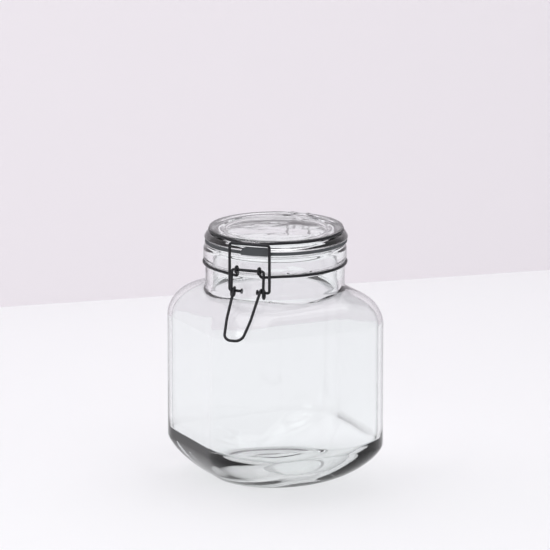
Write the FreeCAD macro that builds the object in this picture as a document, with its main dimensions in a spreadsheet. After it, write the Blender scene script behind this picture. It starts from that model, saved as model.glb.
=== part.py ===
import FreeCAD, Part
import math
import os
import Sketcher
from FreeCAD import Placement, Rotation, Vector

# A bail clamp jar: square glass body with a round neck, glass lid on a rear wire hinge,
# rubber gasket, and an over-centre wire clasp that stands over one corner of the body.
# The origin is the centre of the base, Z is up, and the flat faces look along X and Y.
# The wires are laid out with the clasp towards -Y, then turned onto the corner.

SIZES = {
    "half_side": 63.0, "corner_radius": 33.0, "wall": 3.2,
    "foot_radius": 38.0, "heel_height": 25.0, "floor_level": 8.0, "inner_foot_radius": 39.0,
    "inner_heel_height": 23.0, "shoulder_start": 107.4, "shoulder_height": 23.6,
    "shoulder_inset": 27.0, "shoulder_corner": 10.0, "punt_radius": 33.0, "punt_depth": 2.2,
    "neck_radius": 47.0, "mouth_radius": 42.0, "bead_radius": 48.3, "bead_bottom": 149.6,
    "bead_top": 159.4, "rim_radius": 47.4, "rim_level": 162.2,
    "ring_radius": 47.9, "ring_level": 148.0, "wire_radius": 0.95, "groove_radius": 1.1,
    "lid_top": 172.0, "lid_disc_radius": 45.1, "lid_wire_radius": 44.7, "lid_wire_level": 170.2,
    "flange_radius": 48.5, "flange_level": 165.2, "seat_level": 164.5, "lid_plug_radius": 40.6,
    "lid_plug_level": 159.0, "lid_hollow_radius": 37.0, "lid_ceiling": 167.4,
    "lid_recess_radius": 34.0, "lid_recess_depth": 0.6,
    "gasket_inner": 41.2, "gasket_outer": 47.9, "gasket_bottom": 162.3, "gasket_top": 164.4,
    "tab_inner": 48.8, "tab_outer": 50.3, "tab_top": 168.0, "tab_angle": 24.0,
    "lid_play": 0.8, "hinge_reach": 52.2, "hinge_level": 160.0,
    "bail_half": 14.1, "bail_reach": 51.8, "bail_level": 170.3, "pin_level": 138.0,
    "pin_end": 5.1, "pin_head_radius": 1.7, "pin_head_length": 0.8,
    "bar_reach": 52.8, "bar_level": 152.7, "yoke_half": 11.3, "eye_bottom": 134.2,
    "curl_radius": 1.98, "hook_half": 8.0,
    "arm_middle_half": 8.4, "arm_end_half": 6.2,
    "arm_reach": 28.2, "arm_drop": 28.7, "arm_end_radius": 5.6,
}
HEEL_POWER = 1.38
CLASP_TURN = -45.0
TAB_ROUNDING = 4.6
TAB_BEARING = -86.0
WIRE_BEND = 2.2
HOOK_BEND = 1.8
NOSE_SETBACK = 2.3
HINGE_EYE_HALF = 4.0
NOSE_HALF = 5.0
LEG_SHOULDER = 4.0
LEG_BEND = 6.0
ARM_BEND = 40.0
ARM_MIDDLE = 0.6
EYE_PITCH = 0.5

doc = FreeCAD.newDocument("bail_clamp_jar")
sheet = doc.addObject("Spreadsheet::Sheet", "sizes")
for row, (word, number) in enumerate(SIZES.items(), start=1):
    sheet.set(f"A{row}", word)
    sheet.set(f"B{row}", str(number))
    sheet.setAlias(f"B{row}", word)
reader = doc.addObject("Part::Vertex", "size_reader")
doc.recompute()


def size(word):
    return float(sheet.get(word))


def number(expression):
    """The present value of an expression, read from a helper point whose X is bound to it."""
    reader.setExpression("X", expression)
    reader.recompute()
    return reader.X.Value


def new_body(name):
    body = doc.addObject("PartDesign::Body", name)
    body.Label = name
    return body


def new_sketch(body, name, role):
    sketch = body.newObject("Sketcher::SketchObject", name)
    plane = [item for item in body.Origin.OriginFeatures if item.Role == role][0]
    sketch.AttachmentSupport = [(plane, "")]
    sketch.MapMode = "FlatFace"
    return sketch


def hold(sketch, index, point, across, up):
    """Fix a sketch point at distances from the sketch origin that follow the sheet."""
    for kind, expression in (("DistanceX", across), ("DistanceY", up)):
        made = sketch.addConstraint(Sketcher.Constraint(kind, -1, 1, index, point, number(expression)))
        sketch.setExpression(f"Constraints[{made}]", expression)


def outline(body, name, corners):
    """A closed outline of straight lines through corners given as pairs of expressions."""
    sketch = new_sketch(body, name, "XZ_Plane")
    points = [Vector(number(across), number(up), 0) for across, up in corners]
    for index, point in enumerate(points):
        sketch.addGeometry(Part.LineSegment(point, points[(index + 1) % len(points)]), False)
    for index, (across, up) in enumerate(corners):
        following = (index + 1) % len(points)
        sketch.addConstraint(Sketcher.Constraint("Coincident", index, 2, following, 1))
        hold(sketch, index, 1, across, up)
    return sketch


def round_outline(body, name, across, up, radius):
    """A circle whose centre and radius follow the sheet."""
    sketch = new_sketch(body, name, "XZ_Plane")
    centre = Vector(number(across), number(up), 0)
    sketch.addGeometry(Part.Circle(centre, Vector(0, 0, 1), number(radius)), False)
    hold(sketch, 0, 3, across, up)
    made = sketch.addConstraint(Sketcher.Constraint("Radius", 0, number(radius)))
    sketch.setExpression(f"Constraints[{made}]", radius)
    return sketch


def rounded_square(body, name, level, half, radius):
    """A square section with round corners, at a level up the jar."""
    sketch = new_sketch(body, name, "XY_Plane")
    sketch.setExpression("AttachmentOffset.Base.z", level)
    reach = number(half)
    bend = number(radius)
    inner = reach - bend
    for quarter in range(4):
        turn = math.pi / 2 * quarter
        spin = Rotation(Vector(0, 0, 1), 90 * quarter)
        start = spin.multVec(Vector(reach, -inner, 0))
        end = spin.multVec(Vector(reach, inner, 0))
        centre = spin.multVec(Vector(inner, inner, 0))
        sketch.addGeometry(Part.LineSegment(start, end), False)
        circle = Part.Circle(centre, Vector(0, 0, 1), bend)
        sketch.addGeometry(Part.ArcOfCircle(circle, turn, turn + math.pi / 2), False)
    for side in range(4):
        line = 2 * side
        sketch.addConstraint(Sketcher.Constraint("Tangent", line, 2, line + 1, 1))
        sketch.addConstraint(Sketcher.Constraint("Tangent", line + 1, 2, (line + 2) % 8, 1))
        upright = "Vertical" if side % 2 == 0 else "Horizontal"
        sketch.addConstraint(Sketcher.Constraint(upright, line))
    for arc in (3, 5, 7):
        sketch.addConstraint(Sketcher.Constraint("Equal", 1, arc))
    made = sketch.addConstraint(Sketcher.Constraint("Radius", 1, bend))
    sketch.setExpression(f"Constraints[{made}]", radius)
    sides = ((0, "DistanceX", 1), (2, "DistanceY", 1), (4, "DistanceX", -1), (6, "DistanceY", -1))
    for line, kind, sign in sides:
        first = (-1, 1) if sign > 0 else (line, 1)
        second = (line, 1) if sign > 0 else (-1, 1)
        made = sketch.addConstraint(Sketcher.Constraint(kind, *first, *second, reach))
        sketch.setExpression(f"Constraints[{made}]", half)
    return sketch


def loft(body, kind, name, sections):
    feature = body.newObject(f"PartDesign::{kind}Loft", name)
    feature.Profile = sections[0]
    feature.Sections = sections[1:]
    feature.Ruled = False
    return feature


def revolve(body, name, sketch, kind="Revolution", angle=360.0):
    feature = body.newObject(f"PartDesign::{kind}", name)
    feature.Profile = sketch
    feature.ReferenceAxis = (sketch, ["V_Axis"])
    feature.Angle = angle
    return feature


def heel_sections(body, name, bottom, height, foot, half, corner):
    """Sections from a round foot to the full rounded square, along a soft heel curve."""
    sections = []
    steps = 6
    for step in range(steps + 1):
        angle = math.pi / 2 * step / steps
        rise = 1 - math.cos(angle) ** HEEL_POWER
        spread = math.sin(angle) ** HEEL_POWER
        level = f"{bottom} + {height} * {rise:.5f}"
        reach = f"{foot} + ({half} - {foot}) * {spread:.5f}"
        bend = f"({foot} - 0.3) + ({corner} - {foot} + 0.3) * {spread:.5f}"
        sections.append(rounded_square(body, f"{name}_{step}", level, reach, bend))
    return sections


def shoulder_sections(body, name, start, height, inset, half, corner, top_corner):
    """Sections from the full rounded square up and in to the root of the neck."""
    sections = []
    steps = 4
    for step in range(steps + 1):
        angle = math.pi / 2 * step / steps
        level = f"{start} + {height} * {math.sin(angle):.5f}"
        share = 1 - math.cos(angle)
        reach = f"{half} - {inset} * {share:.5f}"
        bend = f"{corner} + ({top_corner} - {corner}) * {share:.5f}"
        sections.append(rounded_square(body, f"{name}_{step}", level, reach, bend))
    return sections


def make_jar_body():
    body = new_body("jar_body")
    heel = heel_sections(body, "heel", "0", "sizes.heel_height", "sizes.foot_radius",
                         "sizes.half_side", "sizes.corner_radius")
    loft(body, "Additive", "heel_solid", heel)
    wall = rounded_square(body, "wall_section", "sizes.heel_height", "sizes.half_side",
                          "sizes.corner_radius")
    pad = body.newObject("PartDesign::Pad", "wall_solid")
    pad.Profile = wall
    pad.setExpression("Length", "sizes.shoulder_start - sizes.heel_height")
    shoulder = shoulder_sections(body, "shoulder", "sizes.shoulder_start", "sizes.shoulder_height",
                                 "sizes.shoulder_inset", "sizes.half_side", "sizes.corner_radius",
                                 "sizes.shoulder_corner")
    loft(body, "Additive", "shoulder_solid", shoulder)
    neck = outline(body, "neck_outline", [
        ("0", "sizes.shoulder_start"),
        ("sizes.neck_radius - 12", "sizes.shoulder_start"),
        ("sizes.neck_radius", "sizes.shoulder_start + sizes.shoulder_height - 8"),
        ("sizes.neck_radius", "sizes.bead_bottom - 0.6"),
        ("sizes.bead_radius - 0.5", "sizes.bead_bottom"),
        ("sizes.bead_radius", "sizes.bead_bottom + 1.2"),
        ("sizes.bead_radius", "sizes.bead_top - 1.2"),
        ("sizes.rim_radius", "sizes.bead_top"),
        ("sizes.rim_radius", "sizes.rim_level - 0.8"),
        ("sizes.rim_radius - 0.8", "sizes.rim_level"),
        ("0", "sizes.rim_level"),
    ])
    revolve(body, "neck_solid", neck)
    ring_groove = round_outline(body, "ring_groove_outline", "sizes.ring_radius", "sizes.ring_level",
                                "sizes.groove_radius")
    revolve(body, "ring_groove", ring_groove, "Groove")
    inner_half = "(sizes.half_side - sizes.wall)"
    inner_corner = "(sizes.corner_radius - sizes.wall)"
    inner_heel = heel_sections(body, "inner_heel", "sizes.floor_level", "sizes.inner_heel_height",
                               "sizes.inner_foot_radius", inner_half, inner_corner)
    loft(body, "Subtractive", "inner_heel_space", inner_heel)
    inner_start = "sizes.floor_level + sizes.inner_heel_height"
    inner_wall = rounded_square(body, "inner_wall_section", inner_start, inner_half, inner_corner)
    pocket = body.newObject("PartDesign::Pocket", "inner_wall_space")
    pocket.Profile = inner_wall
    pocket.Reversed = True
    pocket.setExpression("Length", f"sizes.shoulder_start - ({inner_start})")
    inner_shoulder = shoulder_sections(body, "inner_shoulder", "sizes.shoulder_start",
                                       "(sizes.shoulder_height - sizes.wall)", "sizes.shoulder_inset",
                                       inner_half, inner_corner, "(sizes.shoulder_corner - 2)")
    loft(body, "Subtractive", "inner_shoulder_space", inner_shoulder)
    mouth = outline(body, "mouth_outline", [
        ("0", "sizes.shoulder_start"),
        ("sizes.mouth_radius - 8", "sizes.shoulder_start"),
        ("sizes.mouth_radius", "sizes.shoulder_start + sizes.shoulder_height"),
        ("sizes.mouth_radius", "sizes.rim_level - 0.8"),
        ("sizes.mouth_radius + 0.8", "sizes.rim_level + 0.1"),
        ("0", "sizes.rim_level + 0.1"),
    ])
    revolve(body, "mouth_space", mouth, "Groove")
    punt = outline(body, "punt_outline", [
        ("0", "-1"),
        ("sizes.punt_radius + 1.5", "-1"),
        ("sizes.punt_radius", "sizes.punt_depth * 0.6"),
        ("sizes.punt_radius - 4", "sizes.punt_depth"),
        ("0", "sizes.punt_depth"),
    ])
    revolve(body, "punt", punt, "Groove")
    return body


def make_lid():
    body = new_body("lid")
    profile = outline(body, "lid_outline", [
        ("0", "sizes.lid_ceiling"),
        ("sizes.lid_hollow_radius - 3", "sizes.lid_ceiling"),
        ("sizes.lid_hollow_radius", "sizes.lid_plug_level"),
        ("sizes.lid_plug_radius", "sizes.lid_plug_level"),
        ("sizes.lid_plug_radius", "sizes.seat_level"),
        ("sizes.flange_radius - 0.5", "sizes.seat_level"),
        ("sizes.flange_radius", "sizes.flange_level"),
        ("sizes.lid_disc_radius + 0.2", "sizes.lid_wire_level - 1.3"),
        ("sizes.lid_disc_radius", "sizes.lid_wire_level - 0.4"),
        ("sizes.lid_disc_radius", "sizes.lid_top - 0.4"),
        ("sizes.lid_disc_radius - 0.6", "sizes.lid_top"),
        ("sizes.lid_recess_radius", "sizes.lid_top"),
        ("sizes.lid_recess_radius - 1", "sizes.lid_top - sizes.lid_recess_depth"),
        ("0", "sizes.lid_top - sizes.lid_recess_depth"),
    ])
    revolve(body, "lid_solid", profile)
    groove = round_outline(body, "wire_groove_outline", "sizes.lid_wire_radius", "sizes.lid_wire_level",
                           "sizes.groove_radius")
    revolve(body, "wire_groove", groove, "Groove")
    return body


def make_gasket():
    body = new_body("gasket_ring")
    ring = outline(body, "ring_outline", [
        ("sizes.gasket_inner", "sizes.gasket_bottom"),
        ("sizes.gasket_outer", "sizes.gasket_bottom"),
        ("sizes.gasket_outer", "sizes.gasket_top"),
        ("sizes.gasket_inner", "sizes.gasket_top"),
    ])
    revolve(body, "ring_solid", ring)
    return body


def make_gasket_tab():
    """The pull tab bends up from the edge of the gasket and stands in front of the lid flange."""
    tongue = Part.makePolygon([
        Vector(size("gasket_outer") - 1, 0, size("gasket_bottom")),
        Vector(size("tab_outer"), 0, size("gasket_bottom")),
        Vector(size("tab_outer"), 0, size("tab_top")),
        Vector(size("tab_inner"), 0, size("tab_top")),
        Vector(size("tab_inner"), 0, size("gasket_top")),
        Vector(size("gasket_outer") - 1, 0, size("gasket_top")),
        Vector(size("gasket_outer") - 1, 0, size("gasket_bottom")),
    ])
    band = Part.Face(tongue).revolve(Vector(0, 0, 0), Vector(0, 0, 1), size("tab_angle"))
    corners = [edge for edge in band.Edges
               if abs(edge.CenterOfMass.z - size("tab_top")) < 0.01
               and edge.Length < 2 * (size("tab_outer") - size("tab_inner"))]
    return band.makeFillet(TAB_ROUNDING, corners)


def bent_path(route):
    """Straight runs joined by tangent arcs; each inner point of the route has a bend radius."""
    points = [Vector(*stop[:3]) for stop in route]
    edges = []
    last = points[0]
    for index in range(1, len(points) - 1):
        into = (points[index] - points[index - 1]).normalize()
        out = (points[index + 1] - points[index]).normalize()
        half_turn = into.getAngle(out) / 2
        reach = route[index][3] * math.tan(half_turn)
        start = points[index] - into * reach
        end = points[index] + out * reach
        inward = (out - into).normalize()
        middle = points[index] + inward * (route[index][3] / math.cos(half_turn) - route[index][3])
        if (start - last).Length > 0.001:
            edges.append(Part.LineSegment(last, start).toShape())
            last = start
        edges.append(Part.Arc(last, middle, end).toShape())
        last = end
    edges.append(Part.LineSegment(last, points[-1]).toShape())
    return Part.Wire(edges)


def bent_wire(route):
    """A round wire along the route."""
    path = bent_path(route)
    start = Vector(*route[0][:3])
    direction = Vector(*route[1][:3]) - start
    section = Part.Wire([Part.Circle(start, direction, size("wire_radius")).toShape()])
    shape = path.makePipeShell([section], True, False)
    expected = math.pi * size("wire_radius") ** 2 * path.Length
    print(f"wire length {path.Length:.1f} mm, volume off by {abs(shape.Volume / expected - 1):.4f}")
    return shape


def leave_bearing(across, reach, ring):
    """Bearing where a tangent leaves a ring towards a point, measured from the point's side."""
    return math.atan2(across, reach) + math.acos(ring / math.hypot(across, reach))


def ring_stops(ring, level, front_bearing, rear_bearing, steps):
    """Corners round the +X half of a ring, from the front tangent point to the rear one.

    Bearings are from -Y at the front and from +Y at the rear. Each corner is bent to the
    radius of the ring itself, so that the arcs join into one round.
    """
    sweep = math.pi - front_bearing - rear_bearing
    step = sweep / steps
    far = ring / math.cos(step / 2)
    stops = []
    for index in range(steps):
        bearing = front_bearing + step * (index + 0.5)
        stops.append((far * math.sin(bearing), -far * math.cos(bearing), level, ring))
    return stops


def mirrored(stops):
    return [(-stop[0],) + tuple(stop[1:]) for stop in reversed(stops)]


def make_neck_wire():
    """One wire: front hook, half ring, raised rear hinge bar, half ring, front hook."""
    level = size("ring_level")
    curl = size("curl_radius")
    ring = size("ring_radius")
    hook = size("hook_half")
    bar = size("bar_reach")
    top = size("bar_level")
    rear = size("hinge_reach")
    post = size("hook_half") + 1
    rise = size("hinge_level")
    front = leave_bearing(hook, bar - curl, ring)
    back = leave_bearing(post, rear, ring)
    half = [
        (hook, -(bar - 0.9), top - curl),
        (hook, -(bar + curl), top - curl, curl),
        (hook, -(bar + curl), top + curl, curl),
        (hook, -(bar - curl), top + curl, curl),
        (hook, -(bar - curl), level, HOOK_BEND),
    ]
    half += ring_stops(ring, level, front, back, 5)
    half += [(post, rear, level, WIRE_BEND), (post, rear, rise, WIRE_BEND)]
    return bent_wire(half + mirrored(half))


def make_lid_wire():
    """A ring round the lid with a nose towards the bail and two curls on the hinge bar."""
    level = size("lid_wire_level")
    ring = size("lid_wire_radius")
    curl = size("curl_radius")
    rear = size("hinge_reach")
    hinge = size("hinge_level")
    eye = HINGE_EYE_HALF
    nose_reach = size("bail_reach") - NOSE_SETBACK
    front = leave_bearing(NOSE_HALF, nose_reach, ring)
    back = leave_bearing(eye, rear - curl, ring)
    half = [
        (eye, rear - 0.2, hinge + curl),
        (eye, rear + curl, hinge + curl, curl),
        (eye, rear + curl, hinge - curl, curl),
        (eye, rear - curl, hinge - curl, curl),
        (eye, rear - curl, level, WIRE_BEND),
    ]
    half += list(reversed(ring_stops(ring, level, front, back, 5)))
    half += [(NOSE_HALF, -nose_reach, level, WIRE_BEND)]
    return bent_wire(half + mirrored(half))


def make_bail():
    """A square loop with two inward pins; each pin ends in a flat head."""
    half = size("bail_half")
    reach = size("bail_reach")
    side = [
        (size("pin_end"), -reach, size("pin_level")),
        (half, -reach, size("pin_level"), 1.6),
        (half, -reach, size("bail_level"), HOOK_BEND),
    ]
    shape = bent_wire(side + mirrored(side))
    for sign in (-1, 1):
        start = Vector(sign * size("pin_end"), -reach, size("pin_level"))
        head = Part.makeCylinder(size("pin_head_radius"), size("pin_head_length"), start, Vector(sign, 0, 0))
        shape = shape.fuse(head)
    return shape.removeSplitter()


def make_lever():
    """One wire: pivot bar, two legs, an eye round each bail pin, and a finger loop."""
    curl = size("curl_radius")
    pin = size("bail_reach")
    level = size("pin_level")
    bar = size("bar_reach")
    outer = size("yoke_half")
    tight = curl - 0.02
    start_reach = pin + curl
    start_level = level + curl
    side = [
        (outer, -bar, size("bar_level"), 1.5),
        (outer, -(pin + curl), level + LEG_SHOULDER, LEG_BEND),
        (outer, -(pin + curl), size("eye_bottom"), tight),
        (outer - EYE_PITCH, -(pin - curl), size("eye_bottom"), tight),
        (outer - 2 * EYE_PITCH, -(pin - curl), start_level, tight),
        (outer - 3 * EYE_PITCH - 0.4, -start_reach, start_level, HOOK_BEND),
    ]
    side += [
        (size("arm_middle_half"), -(start_reach + ARM_MIDDLE * size("arm_reach")),
         start_level - ARM_MIDDLE * size("arm_drop"), ARM_BEND),
        (size("arm_end_half"), -(start_reach + size("arm_reach")),
         start_level - size("arm_drop"), size("arm_end_radius")),
    ]
    half = [(0, -bar, size("bar_level"))] + side
    end = (0, -(start_reach + size("arm_reach")), start_level - size("arm_drop"))
    right = bent_wire(half + [end])
    left = right.mirror(Vector(0, 0, 0), Vector(1, 0, 0))
    return right.fuse(left).removeSplitter()


def add_shape(name, shape, shift=0.0):
    """A bent wire has no flat outline, so its shape is set directly from the sheet's sizes."""
    feature = doc.addObject("Part::Feature", name)
    feature.Label = name
    feature.Shape = shape
    turn = Rotation(Vector(0, 0, 1), CLASP_TURN)
    feature.Placement = Placement(turn.multVec(Vector(shift, 0, 0)), turn)
    return feature


jar_body = make_jar_body()
lid = make_lid()
gasket_ring = make_gasket()
doc.recompute()

play = size("lid_play")
turn = Rotation(Vector(0, 0, 1), CLASP_TURN)
lid.Placement = Placement(turn.multVec(Vector(play, 0, 0)), turn)
tab = make_gasket_tab()
tab.rotate(Vector(0, 0, 0), Vector(0, 0, 1), TAB_BEARING - size("tab_angle") / 2)
gasket_shape = gasket_ring.Shape.fuse(tab).removeSplitter()
gasket = add_shape("gasket", gasket_shape, play)
neck_wire = add_shape("neck_wire", make_neck_wire())
lid_wire = add_shape("lid_wire", make_lid_wire(), play)
bail = add_shape("bail", make_bail(), play)
lever = add_shape("lever", make_lever())
doc.recompute()

doc.removeObject(reader.Name)
for item in doc.Objects:
    if "Invalid" in item.State or "Error" in item.State:
        raise RuntimeError(f"{item.Name} did not recompute: {item.State}")

os.makedirs("parts", exist_ok=True)
nodes = {"jar_body": jar_body, "lid": lid, "gasket": gasket, "neck_wire": neck_wire,
         "lid_wire": lid_wire, "bail": bail, "lever": lever}
for name, item in nodes.items():
    shape = item.Shape
    if shape.isNull() or not shape.isValid():
        raise RuntimeError(f"{name} has no valid shape")
    box = shape.BoundBox
    volume = shape.Volume / 1000
    print(f"{name}: {len(shape.Solids)} solid, {volume:.2f} cm3, z {box.ZMin:.2f} to {box.ZMax:.2f}")
    shape.exportStep(f"parts/{name}.step")
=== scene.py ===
import math

import bmesh
import bpy
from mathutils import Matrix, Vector


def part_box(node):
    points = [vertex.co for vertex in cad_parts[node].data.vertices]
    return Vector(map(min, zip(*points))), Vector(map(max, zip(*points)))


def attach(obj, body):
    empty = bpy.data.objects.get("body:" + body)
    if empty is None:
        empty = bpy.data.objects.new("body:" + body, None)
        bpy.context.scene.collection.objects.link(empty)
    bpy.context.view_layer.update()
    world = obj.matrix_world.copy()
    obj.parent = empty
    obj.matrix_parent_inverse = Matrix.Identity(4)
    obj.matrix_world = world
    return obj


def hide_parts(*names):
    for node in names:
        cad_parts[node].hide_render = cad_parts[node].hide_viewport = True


# A clear glass clamp jar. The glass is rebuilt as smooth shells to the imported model's sizes;
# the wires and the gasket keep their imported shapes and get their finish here.

MM = 0.001
AROUND = 192

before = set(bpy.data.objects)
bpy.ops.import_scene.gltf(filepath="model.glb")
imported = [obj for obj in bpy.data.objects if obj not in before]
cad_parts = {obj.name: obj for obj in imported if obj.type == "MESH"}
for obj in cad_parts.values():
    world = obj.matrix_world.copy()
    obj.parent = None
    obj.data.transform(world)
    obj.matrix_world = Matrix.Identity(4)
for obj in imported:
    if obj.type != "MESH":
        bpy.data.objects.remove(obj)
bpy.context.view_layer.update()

jar_low, jar_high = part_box("jar_body")
lid_low, lid_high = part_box("lid")

half_side = (jar_high[0] - jar_low[0]) / 2
lid_top = lid_high[2]
lid_centre = ((lid_low[0] + lid_high[0]) / 2, (lid_low[1] + lid_high[1]) / 2)
flange_radius = (lid_high[0] - lid_low[0]) / 2


# Shapes

def square_reach(angle, half, corner):
    """Distance from the axis to a rounded square of that half side, in the direction of angle."""
    a = abs(math.cos(angle))
    b = abs(math.sin(angle))
    big, small = max(a, b), min(a, b)
    flat_end = half - corner
    if small / big * half <= flat_end:
        return half / big
    along = flat_end * (a + b)
    return along + math.sqrt(max(along * along - 2 * flat_end ** 2 + corner ** 2, 0))


def soft_max(first, second, blend):
    return (first + second + math.sqrt((first - second) ** 2 + blend ** 2)) / 2


def shell(name, rings):
    """A closed shell through rings, each given by a function of the angle: (radius, level).

    The first and last rings close on the axis.
    """
    mesh = bmesh.new()
    rows = []
    for ring in rings:
        row = []
        for index in range(AROUND):
            angle = 2 * math.pi * index / AROUND
            radius, level = ring(angle)
            row.append(mesh.verts.new((radius * math.cos(angle), radius * math.sin(angle), level)))
        rows.append(row)
    for lower, upper in zip(rows, rows[1:]):
        for index in range(AROUND):
            following = (index + 1) % AROUND
            mesh.faces.new((lower[index], lower[following], upper[following], upper[index]))
    for row, flip in ((rows[0], True), (rows[-1], False)):
        level = sum(vert.co.z for vert in row) / AROUND
        tip = mesh.verts.new((0, 0, level))
        for index in range(AROUND):
            following = (index + 1) % AROUND
            corners = (row[following], row[index], tip) if flip else (row[index], row[following], tip)
            mesh.faces.new(corners)
    bmesh.ops.recalc_face_normals(mesh, faces=mesh.faces)
    data = bpy.data.meshes.new(name)
    mesh.to_mesh(data)
    mesh.free()
    for polygon in data.polygons:
        polygon.use_smooth = True
    piece = bpy.data.objects.new(name, data)
    bpy.context.collection.objects.link(piece)
    return piece


def round_ring(radius, level):
    return lambda angle: (radius, level)


def square_ring(half, corner, level):
    return lambda angle: (square_reach(angle, half, corner), level)


def rounded_profile(points, steps=5):
    """Corners of a profile given as (radius, level, bend); a bend over zero is rounded off."""
    result = []
    for index, (radius, level, bend) in enumerate(points):
        here = Vector((radius, level))
        if bend == 0 or index in (0, len(points) - 1):
            result.append(here)
            continue
        before = Vector(points[index - 1][:2]) - here
        after = Vector(points[index + 1][:2]) - here
        reach = min(bend, before.length * 0.48, after.length * 0.48)
        start = here + before.normalized() * reach
        end = here + after.normalized() * reach
        for step in range(steps + 1):
            share = step / steps
            first = start.lerp(here, share)
            second = here.lerp(end, share)
            result.append(first.lerp(second, share))
    return [(point.x * MM, point.y * MM) for point in result]


HEEL_POWER = 1.38
FOOT_RADIUS = 38.0
HEEL_HEIGHT = 25.0
CORNER = 33.0
WALL = 3.2
FLOOR = 8.0
INNER_FOOT = 39.0
INNER_HEEL = 23.0
SHOULDER_START = 107.4
SHOULDER_HEIGHT = 23.6
SHOULDER_INSET = 27.0
SHOULDER_CORNER = 10.0
NECK = 47.0
MOUTH = 42.0
NECK_FILLET = 3.0


def heel_rings(bottom, height, foot, half, corner, steps):
    rings = []
    for step in range(1, steps + 1):
        angle = math.pi / 2 * step / steps
        rise = 1 - max(math.cos(angle), 0) ** HEEL_POWER
        spread = math.sin(angle) ** HEEL_POWER
        reach = foot + (half - foot) * spread
        bend = foot + (corner - foot) * spread
        rings.append(square_ring(reach * MM, min(bend, reach) * MM, (bottom + height * rise) * MM))
    return rings


def shoulder_ring(start, height, half, corner, neck, angle):
    share = 1 - math.cos(angle)
    reach = half - SHOULDER_INSET * share
    bend = corner + (SHOULDER_CORNER - corner) * share
    level = start + height * math.sin(angle)

    def ring(direction):
        wide = square_reach(direction, reach, bend)
        return soft_max(wide, neck, NECK_FILLET) * MM, level * MM
    return ring


def make_jar():
    half = half_side / MM
    rings = [round_ring(r * MM, z * MM) for r, z in (
        (4, 2.3), (10, 2.25), (16, 2.1), (17, 1.75), (18, 2.1), (24, 2.2), (28, 2.2),
        (30, 2.1), (32, 1.5), (33, 0.8), (34, 0.25), (35.5, 0.0), (FOOT_RADIUS - 0.8, 0.0))]
    rings += heel_rings(0.0, HEEL_HEIGHT, FOOT_RADIUS, half, CORNER, 26)
    for step in range(1, 12):
        level = HEEL_HEIGHT + (SHOULDER_START - HEEL_HEIGHT) * step / 12
        rings.append(square_ring(half * MM, CORNER * MM, level * MM))
    for step in range(0, 25):
        angle = math.pi / 2 * step / 24
        rings.append(shoulder_ring(SHOULDER_START, SHOULDER_HEIGHT, half, CORNER, NECK, angle))
    profile = rounded_profile([
        (NECK + 0.05, 133.0, 0), (NECK, 136.0, 0), (NECK, 145.6, 0),
        (NECK, 146.6, 0.6), (46.72, 147.6, 0.6),
        (46.72, 148.6, 0.6), (47.7, 149.6, 1.2), (48.3, 151.0, 1.5), (48.3, 158.0, 1.2), (47.5, 159.7, 0.5),
        (47.4, 160.3, 0.3), (47.4, 162.2, 0.9), (44.6, 162.2, 0),
        (42.0, 162.2, 1.0), (MOUTH, 158.0, 0), (MOUTH, 140.0, 0), (MOUTH, 134.0, 0)])
    rings += [round_ring(radius, level) for radius, level in profile]
    inner_half = half - WALL
    inner_corner = CORNER - WALL
    for step in range(24, -1, -1):
        angle = math.pi / 2 * step / 24
        rings.append(shoulder_ring(SHOULDER_START, SHOULDER_HEIGHT - WALL, inner_half, inner_corner,
                                   MOUTH, angle))
    inner_top = FLOOR + INNER_HEEL
    for step in range(11, 0, -1):
        level = inner_top + (SHOULDER_START - inner_top) * step / 12
        rings.append(square_ring(inner_half * MM, inner_corner * MM, level * MM))
    rings += list(reversed(heel_rings(FLOOR, INNER_HEEL, INNER_FOOT, inner_half, inner_corner, 26)))
    rings += [round_ring(r * MM, z * MM) for r, z in (
        (INNER_FOOT - 0.8, 7.95), (37, 7.9), (33, 8.0), (26, 8.2), (20, 8.4), (12, 8.5), (4, 8.6))]
    return shell("jar_glass", rings)


def make_lid():
    low, high = 159.0, lid_top / MM
    radius = flange_radius / MM
    profile = rounded_profile([
        (3.0, 167.4, 0), (30.0, 167.6, 0), (35.0, 167.2, 2.0), (37.2, 164.0, 2.0), (37.2, low, 1.2),
        (40.6, low, 1.2), (40.6, 164.5, 0.8), (radius - 0.4, 164.5, 0.6), (radius, 165.4, 0.8),
        (radius - 1.6, 168.0, 1.5), (45.3, 168.9, 0.4), (43.85, 169.3, 0.4), (43.4, 170.2, 0.4),
        (43.85, 171.1, 0.3), (45.1, 171.25, 0.3), (45.1, high, 0.5), (41.5, high, 0.6), (39.0, 171.7, 0.8),
        (35.5, 171.7, 0.8), (34.0, 171.35, 0.8), (24.0, 171.3, 0), (3.0, 171.3, 0)], steps=6)
    piece = shell("lid_glass", [round_ring(r, z) for r, z in profile])
    for vert in piece.data.vertices:
        vert.co.x += lid_centre[0]
        vert.co.y += lid_centre[1]
    return piece


# Materials

def material(name):
    made = bpy.data.materials.new(name)
    made.use_nodes = True
    return made, made.node_tree.nodes, made.node_tree.links


def bumped(nodes, links, shader, scale, strength, distance, detail=2.0, stretch=(1, 1, 1)):
    """Fine unevenness from a noise pattern fixed to the piece."""
    place = nodes.new("ShaderNodeTexCoord")
    spread = nodes.new("ShaderNodeMapping")
    spread.inputs["Scale"].default_value = stretch
    noise = nodes.new("ShaderNodeTexNoise")
    noise.inputs["Scale"].default_value = scale
    noise.inputs["Detail"].default_value = detail
    bump = nodes.new("ShaderNodeBump")
    bump.inputs["Strength"].default_value = strength
    bump.inputs["Distance"].default_value = distance
    links.new(place.outputs["Object"], spread.inputs["Vector"])
    links.new(spread.outputs["Vector"], noise.inputs["Vector"])
    links.new(noise.outputs["Fac"], bump.inputs["Height"])
    links.new(bump.outputs["Normal"], shader.inputs["Normal"])
    return noise


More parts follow.
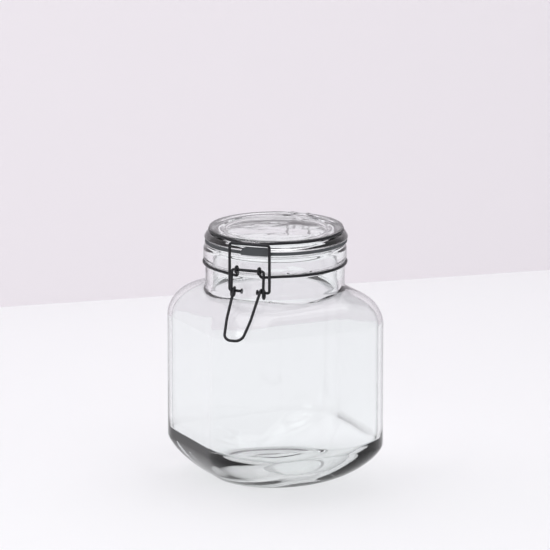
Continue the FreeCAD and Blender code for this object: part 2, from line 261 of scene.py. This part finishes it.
def ranged(nodes, links, source, target, low, high):
    spread = nodes.new("ShaderNodeMapRange")
    spread.inputs["To Min"].default_value = low
    spread.inputs["To Max"].default_value = high
    links.new(source, spread.inputs["Value"])
    links.new(spread.outputs["Result"], target)


def glass_material(name, color, painted_edge_shade_color, scale, distance, stretch):
    """Clear glass whose base colour is painted toward a second colour where it is seen at a grazing angle:
    painted edge shade, in place of the dark reflections along its outline.
    """
    made, nodes, links = material(name)
    shader = nodes["Principled BSDF"]
    # Painted shade: the Facing mask pulls the base colour to the second colour near the outline, painted in
    # place of the dark reflections there.
    grazing_shade_mask = nodes.new("ShaderNodeLayerWeight")
    grazing_shade_mask.inputs["Blend"].default_value = 0.5
    tint_and_edge_shade = nodes.new("ShaderNodeValToRGB")
    tint_and_edge_shade.color_ramp.elements[0].position = 0.62
    tint_and_edge_shade.color_ramp.elements[0].color = (*color, 1)
    tint_and_edge_shade.color_ramp.elements[1].position = 0.85
    tint_and_edge_shade.color_ramp.elements[1].color = (*painted_edge_shade_color, 1)
    links.new(grazing_shade_mask.outputs["Facing"], tint_and_edge_shade.inputs["Fac"])
    links.new(tint_and_edge_shade.outputs["Color"], shader.inputs["Base Color"])
    shader.inputs["Transmission Weight"].default_value = 1.0
    shader.inputs["IOR"].default_value = 1.5
    noise = bumped(nodes, links, shader, scale, 0.35, distance, 1.5, stretch)
    ranged(nodes, links, noise.outputs["Fac"], shader.inputs["Roughness"], 0.0, 0.02)
    return made


def wire_material():
    made, nodes, links = material("dark_wire")
    shader = nodes["Principled BSDF"]
    shader.inputs["Metallic"].default_value = 0.9
    noise = bumped(nodes, links, shader, 900, 0.3, 0.0001, 4.0)
    ranged(nodes, links, noise.outputs["Fac"], shader.inputs["Roughness"], 0.28, 0.5)
    ramp = nodes.new("ShaderNodeValToRGB")
    ramp.color_ramp.elements[0].color = (0.016, 0.016, 0.018, 1)
    ramp.color_ramp.elements[1].color = (0.05, 0.05, 0.054, 1)
    links.new(noise.outputs["Fac"], ramp.inputs["Fac"])
    links.new(ramp.outputs["Color"], shader.inputs["Base Color"])
    return made


def rubber_material():
    made, nodes, links = material("gray_rubber")
    shader = nodes["Principled BSDF"]
    noise = bumped(nodes, links, shader, 1500, 0.4, 0.0001, 5.0)
    ranged(nodes, links, noise.outputs["Fac"], shader.inputs["Roughness"], 0.55, 0.8)
    ramp = nodes.new("ShaderNodeValToRGB")
    ramp.color_ramp.elements[0].color = (0.045, 0.05, 0.055, 1)
    ramp.color_ramp.elements[1].color = (0.08, 0.086, 0.092, 1)
    links.new(noise.outputs["Fac"], ramp.inputs["Fac"])
    links.new(ramp.outputs["Color"], shader.inputs["Base Color"])
    return made


def finish_with(piece, made):
    piece.data.materials.clear()
    piece.data.materials.append(made)


jar_glass = make_jar()
# The jar's glass gets a dark grey painted edge shade along its outline.
finish_with(jar_glass, glass_material("clear_glass_painted_edge_shade", (0.955, 0.972, 0.968), (0.2, 0.21, 0.22),
                                      22, 0.0012, (1, 1, 0.35)))
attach(jar_glass, "jar")
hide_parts("jar_body")
jar_glass.visible_shadow = False

lid_glass = make_lid()
# The lid's glass gets a faint painted edge shade along its outline.
finish_with(lid_glass, glass_material("lid_glass_painted_edge_shade", (0.96, 0.975, 0.972), (0.9, 0.91, 0.91),
                                      60, 0.001, (1, 1, 1)))
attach(lid_glass, "lid")
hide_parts("lid")
lid_glass.visible_shadow = False

dark_wire = wire_material()
for node in ("neck_wire", "lid_wire", "bail", "lever"):
    finish_with(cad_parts[node], dark_wire)
finish_with(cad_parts["gasket"], rubber_material())


# Floor, backdrop, lights and camera

VIEW_TURN = math.radians(-25)
VIEW_RISE = math.radians(13.2)
FIELD = 0.3705
DISTANCE = 4.0
AIM = Vector((0, 0, 0.138))


def plain_material(name, color):
    made, nodes, links = material(name)
    shader = nodes["Principled BSDF"]
    shader.inputs["Roughness"].default_value = 0.9
    shader.inputs["Base Color"].default_value = (*color, 1)
    shader.inputs["Specular IOR Level"].default_value = 0.0
    return made


def one_sided(made):
    """The sheet shows only from its front, so that it hides nothing in views from behind it."""
    nodes, links = made.node_tree.nodes, made.node_tree.links
    shader = nodes["Principled BSDF"]
    facing = nodes.new("ShaderNodeNewGeometry")
    clear = nodes.new("ShaderNodeBsdfTransparent")
    mix = nodes.new("ShaderNodeMixShader")
    links.new(facing.outputs["Backfacing"], mix.inputs["Fac"])
    links.new(shader.outputs["BSDF"], mix.inputs[1])
    links.new(clear.outputs["BSDF"], mix.inputs[2])
    links.new(mix.outputs["Shader"], nodes["Material Output"].inputs["Surface"])
    return made


def sheet_of(name, corners, made):
    data = bpy.data.meshes.new(name)
    data.from_pydata(corners, [], [(0, 1, 2, 3)])
    piece = bpy.data.objects.new(name, data)
    bpy.context.collection.objects.link(piece)
    finish_with(piece, made)
    return piece


sight = Vector((-math.sin(VIEW_TURN), math.cos(VIEW_TURN), 0))
right = Vector((math.cos(VIEW_TURN), math.sin(VIEW_TURN), 0))
WALL_AWAY = 0.543
WALL_SKEW = math.radians(16.4)
wall_line = right * math.cos(WALL_SKEW) + sight * math.sin(WALL_SKEW)
wall_foot = sight * WALL_AWAY

sheet_of("floor", [(-6, -6, 0), (6, -6, 0), (6, 6, 0), (-6, 6, 0)],
         plain_material("pale_floor", (0.93, 0.93, 0.94)))

near_end = wall_foot - wall_line * 2.5
far_end = wall_foot + wall_line * 2.5
rise = Vector((0, 0, 2.0))
sheet_of("backdrop", [near_end, far_end, far_end + rise, near_end + rise],
         one_sided(plain_material("pale_backdrop", (0.91, 0.865, 0.90))))


def area_light(name, place, aim, size, energy):
    data = bpy.data.lights.new(name, "AREA")
    data.shape = "SQUARE"
    data.size = size
    data.energy = energy
    lamp = bpy.data.objects.new(name, data)
    lamp.location = place
    lamp.rotation_euler = (Vector(aim) - Vector(place)).to_track_quat("-Z", "Y").to_euler()
    bpy.context.collection.objects.link(lamp)


area_light("top_light", Vector((0, 0, 1.6)) - sight * 0.2, (0, 0, 0), 1.6, 8.8)
area_light("front_light", -sight * 1.5 - right * 0.9 + Vector((0, 0, 1.1)), (0, 0, 0.1), 0.9, 5)

world = bpy.data.worlds.new("soft_room")
world.use_nodes = True
world.node_tree.nodes["Background"].inputs["Color"].default_value = (0.95, 0.95, 0.97, 1)
world.node_tree.nodes["Background"].inputs["Strength"].default_value = 0.70
bpy.context.scene.world = world

camera_data = bpy.data.cameras.new("camera")
camera_data.sensor_width = 36
camera_data.lens = camera_data.sensor_width * DISTANCE / FIELD
camera = bpy.data.objects.new("camera", camera_data)
camera_height = Vector((0, 0, math.sin(VIEW_RISE) * DISTANCE))
camera.location = AIM - sight * math.cos(VIEW_RISE) * DISTANCE + camera_height
camera.rotation_euler = (AIM - camera.location).to_track_quat("-Z", "Y").to_euler()
bpy.context.collection.objects.link(camera)
bpy.context.scene.camera = camera
bpy.context.scene.view_settings.view_transform = "Standard"
bpy.context.scene.cycles.max_bounces = 32
bpy.context.scene.cycles.transmission_bounces = 32
